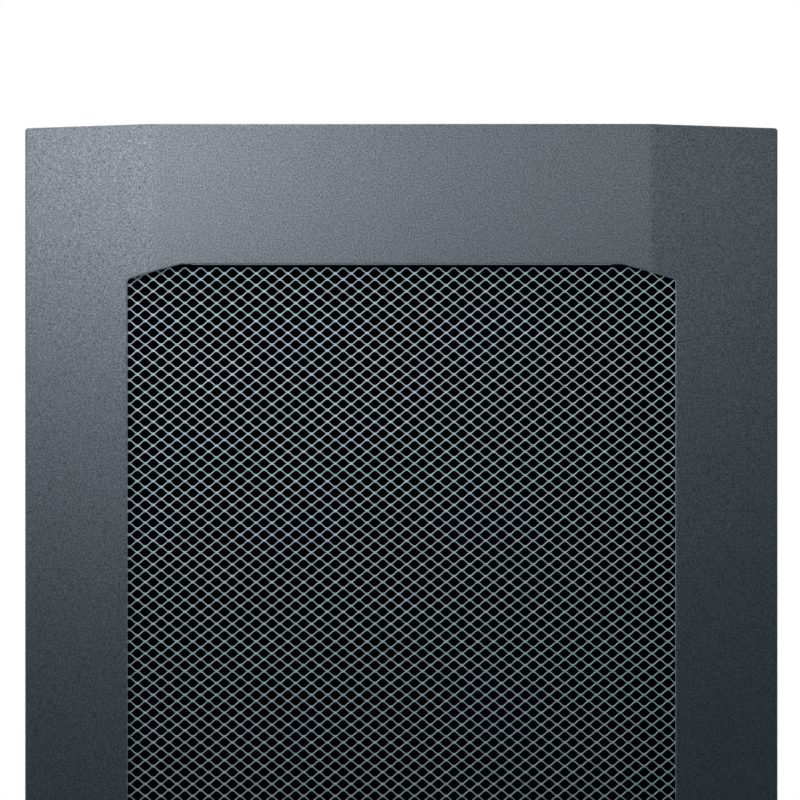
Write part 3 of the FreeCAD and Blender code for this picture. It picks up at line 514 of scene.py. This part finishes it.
def fitting(name, node, body, slot, shape, places):
    """Piece of one closed shape at each of its places, which are a spot in door millimetres and its axes."""
    rows, columns = shape.shape[:2]
    points = np.concatenate([(spot + shape @ axes).reshape(-1, 3) for spot, axes in places]) * MM
    starts = np.arange(len(places))[:, None, None] * rows * columns
    faces = (starts + np.array(grid_faces(rows, columns, around=True))).reshape(-1, 4).tolist()
    piece = make_piece(name, to_frame(*points.T), faces, body, slot, merge=True, closed=True)
    smooth(piece, 30)
    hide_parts(node)


def fittings():
    """Every fastener, lock piece, pin and bumper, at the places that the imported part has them."""
    clamped = [on_facet(side * STRIP_STUD_X, z, 1) for side in (-1, 1) for z in STRIP_STUD_HEIGHTS]
    clamped += [to_back(x, SHEET / MM, z) for z in RAIL_STUD_HEIGHTS for x in RAIL_STUD_SPREAD]
    strip_nut = nut(across=8, height=4, bore=2.6, foot=1.5)
    fitting("weld_studs", "clamp_studs", "door", "zinc_plate", stud(radius=2.5, pitch=0.8, length=10), clamped)
    fitting("strip_nuts", "clamp_nuts", "door", "zinc_plate", strip_nut, clamped)

    riveted = [to_back(*RIVET_SPOT, z + side * RIVET_RISE) for z in HINGE_HEIGHTS.values() for side in (-1, 1)]
    fitting("leaf_rivets", "hinge_rivets", "door", "bright_steel", rivet(), riveted)
    thrust = washer(radius=4.8, bore=2.52, height=1, foot=-0.6)
    for hinge, z in HINGE_HEIGHTS.items():
        upright = [(np.array([*HINGE_AXIS, z]), np.eye(3))]
        fitting(f"{hinge}_pin", f"{hinge}_hinge_pin", "rack_side", "bright_steel", hinge_pin(), upright)
        fitting(f"{hinge}_thrust_washer", f"{hinge}_hinge_washer", "rack_side", "nylon", thrust, upright)

    lock = [on_facet(*LOCK_SPOT, -1)]
    lock_ring = washer(radius=12.8, bore=9.6, height=1, foot=-2.5)
    lock_nut = nut(across=23, height=5, bore=9.6, foot=-7.5)
    fitting("lock_housing", "lock_body", "door", "lock_chrome", lock_body(), lock)
    fitting("lock_ring", "lock_washer", "door", "zinc_plate", lock_ring, lock)
    fitting("lock_hexagon", "lock_nut", "door", "zinc_plate", lock_nut, lock)
    fitting("key_plug", "lock_plug", "lock", "lock_chrome", lock_plug(), lock)
    fitting("cam_bolt", "cam_screw", "lock", "zinc_plate", cam_screw(), lock)

    buttons = [to_back(*BUMPER_SPOT, z) for z in BUMPER_HEIGHTS]
    fitting("lip_bumpers", "bumpers", "door", "rubber", bumper(), buttons)

    earth = [to_back(*EARTH_SPOT)]
    earth_washer = washer(radius=6.5, bore=3.1, height=1.2, foot=0)
    earth_nut = nut(across=10, height=5, bore=3.1, foot=1.2)
    fitting("bond_stud", "earth_stud", "door", "zinc_plate", stud(radius=3, pitch=1, length=16), earth)
    fitting("bond_washer", "earth_washer", "door", "zinc_plate", earth_washer, earth)
    fitting("bond_nut", "earth_nut", "door", "zinc_plate", earth_nut, earth)


# Materials

WHITE = (1, 1, 1, 1)


def linear(code):
    """Linear colour of an sRGB hex code."""
    value = np.array([int(code[i:i + 2], 16) / 255 for i in (1, 3, 5)])
    return (*np.where(value <= 0.04045, value / 12.92, ((value + 0.055) / 1.055) ** 2.4).tolist(), 1.0)


def add(tree, kind, links=(), settings=(), **inputs):
    """Add a node: links are pairs of an input, by name or number, and the socket that feeds it, settings are
    the node's own properties, and inputs are socket values."""
    made = tree.nodes.new(kind)
    for name, value in dict(settings).items():
        setattr(made, name, value)
    for name, value in inputs.items():
        made.inputs[name.replace("_", " ")].default_value = value
    for name, socket in links:
        tree.links.new(socket, made.inputs[name])
    return made


def new_material(name):
    """Empty material and its node tree."""
    material = bpy.data.materials.new(name)
    material.use_nodes = True
    material.node_tree.nodes.clear()
    return material, material.node_tree


def grained_finish(name, dark, light, span, gloss, mottle, relief, bump, metallic=0.0):
    """Finish whose tone runs from dark to light, and whose roughness between two values, over a span of one
    noise, the mottle, while a second noise, the relief, lifts and lowers its surface. Both lie in Object
    coordinates."""
    material, tree = new_material(name)
    place = [("Vector", add(tree, "ShaderNodeTexCoord").outputs["Object"])]
    grain = add(tree, "ShaderNodeTexNoise", place, **mottle).outputs["Fac"]
    tone = add(tree, "ShaderNodeValToRGB", [("Fac", grain)])
    for stop, position, code in zip(tone.color_ramp.elements, span, (dark, light)):
        stop.position = position
        stop.color = linear(code)
    roughness = add(
        tree, "ShaderNodeMapRange", [("Value", grain)],
        From_Min=span[0], From_Max=span[1], To_Min=gloss[0], To_Max=gloss[1],
    )
    height = add(tree, "ShaderNodeTexNoise", place, **relief).outputs["Fac"]
    normal = add(tree, "ShaderNodeBump", [("Height", height)], **bump)
    shader = add(tree, "ShaderNodeBsdfPrincipled", [
        ("Base Color", tone.outputs["Color"]), ("Roughness", roughness.outputs["Result"]),
        ("Normal", normal.outputs["Normal"]),
    ], Metallic=metallic)
    add(tree, "ShaderNodeOutputMaterial", [("Surface", shader.outputs["BSDF"])])
    return material


def coated_steel(name, dark, light, roughness, grain, depth):
    """Powder coat, sprayed on sheet steel and baked: a satin skin whose orange peel mottles the light."""
    return grained_finish(
        name, dark, light, (0.3, 0.7), (roughness + 0.08, roughness - 0.08),
        {"Scale": 1 / grain, "Detail": 2.0, "Roughness": 0.6},
        {"Scale": 1.6 / grain, "Detail": 1.0}, {"Strength": depth, "Distance": 0.1 * MM},
    )


def plated_steel(name, dark, light, roughness, grain):
    """Bare or plated steel: metal whose tone clouds gently, over the fine drawn or tumbled grain of its
    surface, which is about 0.1 mm and is drawn at 0.7 mm so that it shows."""
    return grained_finish(
        name, dark, light, (0.35, 0.65), (roughness + 0.06, roughness - 0.04),
        {"Scale": 1 / grain, "Detail": 3.0},
        {"Scale": 1 / (0.7 * MM), "Detail": 2.0}, {"Strength": 0.15, "Distance": 0.05 * MM}, metallic=1.0,
    )


def moulded(name, dark, light, roughness, grain):
    """Moulded rubber or nylon: a skin with the faint speckle and relief of its mould, both of one grain."""
    speckle = {"Scale": 1 / grain, "Detail": 2.0}
    return grained_finish(
        name, dark, light, (0.0, 1.0), (roughness + 0.125, roughness - 0.125),
        speckle, speckle, {"Strength": 0.2, "Distance": 0.1 * MM},
    )


finishes = {
    # Textured coat of the folded sheet: dark blue-grey, with light flecks that make it look grained and soft
    # from afar. The real grain is about 0.5 mm, drawn at 1 mm so that it shows.
    "powder_coat": coated_steel("textured_powder_coat", "#2a3238", "#8a939c", 0.5, 1.0 * MM, 0.8),
    # Thin, even coat of the mesh: pale grey-blue with almost no mottle, so each strand is one clean line of
    # light. Its peel is about 1.3 mm wide.
    "mesh_coat": coated_steel("mesh_powder_coat", "#bbced5", "#c4d8df", 0.45, 1.3 * MM, 0.1),
    # Zinc plate of the clamp strips, hinge leaves, lock cam and fasteners: a dull silver grey that clouds over
    # about 6 mm.
    "zinc_plate": plated_steel("zinc_plated_steel", "#a9adae", "#c2c5c4", 0.38, 6 * MM),
    # Cold-drawn steel of pins and rivets: brighter and neutral, with narrow highlights and 3 mm clouds.
    "bright_steel": plated_steel("bright_drawn_steel", "#b5b5b4", "#c6c6c5", 0.25, 3 * MM),
    # Satin chrome of the lock's housing and plug: the brightest metal here, cool and softly mirroring, with
    # clouds of about 4 mm.
    "lock_chrome": plated_steel("satin_chrome", "#c6c8ca", "#d3d5d6", 0.22, 4 * MM),
    # Natural nylon of the thrust washers: milky, with a half-dull skin. Its speckle is drawn at 1 mm, about
    # four times its real size, so that it shows.
    "nylon": moulded("natural_nylon", "#d8d4c8", "#e2ded3", 0.5, 1.0 * MM),
    # Black rubber of the bumpers: almost no highlight, slightly mottled. Its grain of about 0.3 mm is drawn at
    # 0.8 mm so that it shows.
    "rubber": moulded("black_rubber", "#1d1d1e", "#282829", 0.75, 0.8 * MM),
}
for part in frame["record"]["subparts"]:
    shown = frame["nodes"][part["node"]]
    shown.data.materials.clear()
    shown.data.materials.append(finishes[part["material_slot"]])

door_skin()
vent_mesh()
fittings()


# Studio, with places in door coordinates

FLOOR_GAP = 60 * MM  # below the door's foot
FLOOR_REACH = 2.5
FLOOR_LIFT = 0.7  # the floor's glow where it is seen
# Card of painted shade behind the mesh: a near-black sheet that stands in for the shade inside the rack
CARD_GAP = 0.3 * MM  # behind the mesh
CARD_OVERLAP = 2 * MM
LENS, SENSOR = 89.06, 36  # millimetres
VIEW_ASIDE = -1.1 * MM  # from the door's middle line
VIEW_DISTANCE = 1.577  # from its front face
VIEW_DROP = 0.2204  # below its top
VIEW_END = 20


def stage_sheet(name, corners, material):
    """Flat stage sheet through four corners."""
    mesh = bpy.data.meshes.new(name)
    mesh.from_pydata(corners, [], [(0, 1, 2, 3)])
    mesh.materials.append(material)
    sheet = bpy.data.objects.new(name, mesh)
    bpy.context.scene.collection.objects.link(sheet)
    return sheet


def rays(tree, *kinds):
    """Socket that is 1 for rays of the named kinds and 0 for all others: the greatest of their flags."""
    path = add(tree, "ShaderNodeLightPath")
    seen = path.outputs[kinds[0]]
    for kind in kinds[1:]:
        links = [(0, seen), (1, path.outputs[kind])]
        seen = add(tree, "ShaderNodeMath", links, {"operation": "MAXIMUM"}).outputs["Value"]
    return seen


def studio_floor():
    """Pale painted floor below the door's foot, lifted to near white where it is seen, so that it keeps the
    door's shadow."""
    material, tree = new_material("pale_floor")
    painted = add(tree, "ShaderNodeBsdfDiffuse", Color=linear("#a9aeb0"))
    seen = rays(tree, "Is Camera Ray", "Is Glossy Ray")
    lift = add(tree, "ShaderNodeMapRange", [("Value", seen)], To_Max=FLOOR_LIFT)
    glow = add(tree, "ShaderNodeEmission", [("Strength", lift.outputs["Result"])], Color=WHITE)
    both = add(tree, "ShaderNodeAddShader", [(0, painted.outputs["BSDF"]), (1, glow.outputs["Emission"])])
    add(tree, "ShaderNodeOutputMaterial", [("Surface", both.outputs["Shader"])])
    middle_y = (SKIN_LOW.y + SKIN_HIGH.y) / 2
    stage_sheet("studio_floor", [
        (MIDDLE_X + x * FLOOR_REACH, middle_y + y * FLOOR_REACH, SKIN_LOW.z - FLOOR_GAP) for x, y in CORNERS
    ], material)


def painted_shade_card():
    """Painted shade: a dark card behind the mesh that glows faintly near black in place of the shade inside the
    unlit rack. Only the camera sees it, from the front.
    """
    material, tree = new_material("painted_interior_shade")
    # Painted shade: a near-black glow, seen from the front only; from behind the card is clear
    shade = add(tree, "ShaderNodeEmission", Color=linear("#020304"), Strength=1.0)
    clear = add(tree, "ShaderNodeBsdfTransparent")
    behind = add(tree, "ShaderNodeNewGeometry").outputs["Backfacing"]
    links = [(0, behind), (1, shade.outputs["Emission"]), (2, clear.outputs["BSDF"])]
    seen = add(tree, "ShaderNodeMixShader", links)
    add(tree, "ShaderNodeOutputMaterial", [("Surface", seen.outputs["Shader"])])
    half_width = WINDOW_HALF + CARD_OVERLAP
    half_height = HEIGHT / 2 - RAIL + CARD_OVERLAP
    middle_z = (SKIN_LOW.z + SKIN_HIGH.z) / 2
    card = stage_sheet("painted_shade_card", [
        (MIDDLE_X + x * half_width, MESH_HIGH.y + CARD_GAP, middle_z + z * half_height) for x, z in CORNERS
    ], material)
    card.visible_diffuse = False
    card.visible_glossy = False
    card.visible_transmission = False
    card.visible_shadow = False
    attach(card, "door")


def lamp(name, place, aim, size, watts, spread):
    """White oblong soft lamp at a place, aimed at another, whose beam spreads by a number of degrees."""
    data = bpy.data.lights.new(name, "AREA")
    data.shape = "RECTANGLE"
    data.size, data.size_y = size
    data.energy = watts
    data.spread = math.radians(spread)
    lit = bpy.data.objects.new(name, data)
    lit.location = Vector(ORIGIN) + Vector(place)
    lit.rotation_euler = (Vector(aim) - Vector(place)).to_track_quat("-Z", "Y").to_euler()
    lit.visible_camera = False
    bpy.context.scene.collection.objects.link(lit)


def world_light(colour, strength):
    """Even dim room, tinted as light but neutral in reflections, with plain white where the camera looks past
    the door, and in reflections a rear half that grows white."""
    world = bpy.data.worlds.new("studio")
    world.use_nodes = True
    tree = world.node_tree
    tree.nodes.clear()
    straight = rays(tree, "Is Camera Ray", "Is Transmission Ray")
    mirrored = rays(tree, "Is Glossy Ray")
    toward = add(tree, "ShaderNodeTexCoord").outputs["Generated"]
    rearward = add(tree, "ShaderNodeSeparateXYZ", [("Vector", toward)]).outputs["Y"]
    rear = add(tree, "ShaderNodeMapRange", [("Value", rearward)], From_Min=0.0, From_Max=0.4).outputs["Result"]
    white_rear = add(tree, "ShaderNodeMath", [(0, mirrored), (1, rear)], {"operation": "MULTIPLY"})
    links = [(0, straight), (1, white_rear.outputs["Value"])]
    seen = add(tree, "ShaderNodeMath", links, {"operation": "MAXIMUM"})
    tinted = add(tree, "ShaderNodeBackground", Color=linear(colour), Strength=strength)
    neutral = add(tree, "ShaderNodeBackground", Color=WHITE, Strength=strength)
    white = add(tree, "ShaderNodeBackground", Color=WHITE, Strength=1.0)
    links = [(0, mirrored), (1, tinted.outputs["Background"]), (2, neutral.outputs["Background"])]
    room = add(tree, "ShaderNodeMixShader", links)
    links = [(0, seen.outputs["Value"]), (1, room.outputs["Shader"]), (2, white.outputs["Background"])]
    mixed = add(tree, "ShaderNodeMixShader", links)
    add(tree, "ShaderNodeOutputWorld", [("Surface", mixed.outputs["Shader"])])
    bpy.context.scene.world = world


def camera():
    """Camera square to the door's front, level with the middle of the part that the view takes in."""
    data = bpy.data.cameras.new("view")
    data.lens = LENS
    data.sensor_width = SENSOR
    data.clip_end = VIEW_END
    seen = bpy.data.objects.new("view", data)
    seen.location = (MIDDLE_X + VIEW_ASIDE, SKIN_LOW.y - VIEW_DISTANCE, SKIN_HIGH.z - VIEW_DROP)
    seen.rotation_euler = (math.radians(90), 0, 0)
    bpy.context.scene.collection.objects.link(seen)
    bpy.context.scene.camera = seen


studio_floor()
# Painted shade: near-black card behind the mesh in place of the rack's dark inside
painted_shade_card()
# Soft box high at the front left, a narrower beam in it, and a long strip: they light the top and fade down
lamp("key", (-0.5, -0.62, HEIGHT + 0.1), (-0.25, 0, HEIGHT), (0.5, 0.1), 0.88, 90)
lamp("key_spot", (-0.5, -0.66, HEIGHT + 0.1), (-0.25, 0, HEIGHT), (0.5, 0.1), 0.2, 60)
lamp("strip", (0.15, -0.62, HEIGHT + 0.1), (0.15, 0, HEIGHT), (1.0, 0.08), 0.58, 90)
# Long box over the door's top edge, and two large ones behind for the back
lamp("overhead", (-0.2, 0.06, HEIGHT + 0.5), (-0.15, 0.03, HEIGHT), (0.8, 0.12), 3.4, 180)
lamp("rear_left", (-1.1, 1.5, 0.75 * HEIGHT), (0, 0, HEIGHT / 2), (1.0, 1.0), 8, 180)
lamp("rear_right", (1.1, 1.5, 0.55 * HEIGHT), (0, 0, HEIGHT / 2), (1.0, 1.0), 6, 180)
# What is left of the room's light, cooler than the lamps
world_light("#00eeff", 0.052)
camera()
bpy.context.scene.view_settings.view_transform = "Standard"
